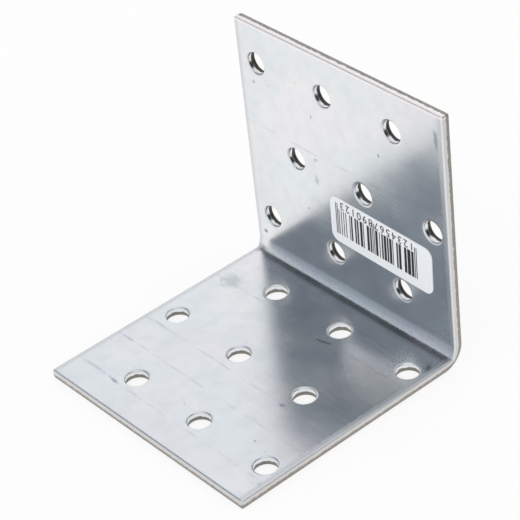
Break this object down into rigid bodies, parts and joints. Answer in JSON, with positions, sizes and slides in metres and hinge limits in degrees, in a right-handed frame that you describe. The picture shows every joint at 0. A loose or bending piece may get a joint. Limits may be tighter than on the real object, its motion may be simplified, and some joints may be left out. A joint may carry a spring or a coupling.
{
  "type": "corner brace bracket",
  "caption": "Right-angle corner brace bent from one perforated strip of zinc plated sheet steel, for joining timber, with a paper label inside one leg.",
  "frame": {"origin": "middle of the footprint, on the underside of the base leg", "axes": "+X along the bend, the base leg reaches toward -Y and lies on z = 0, the upright leg stands at +Y and rises along +Z"},
  "size_m": [0.06, 0.06, 0.06],
  "materials": {
    "zinc_plated_steel": "bright zinc, satin to glossy",
    "label_paper": "matt white paper with black bars"
  },
  "bodies": {
    "root": {"bracket": "zinc_plated_steel", "label": "label_paper"}
  },
  "joints": []
}
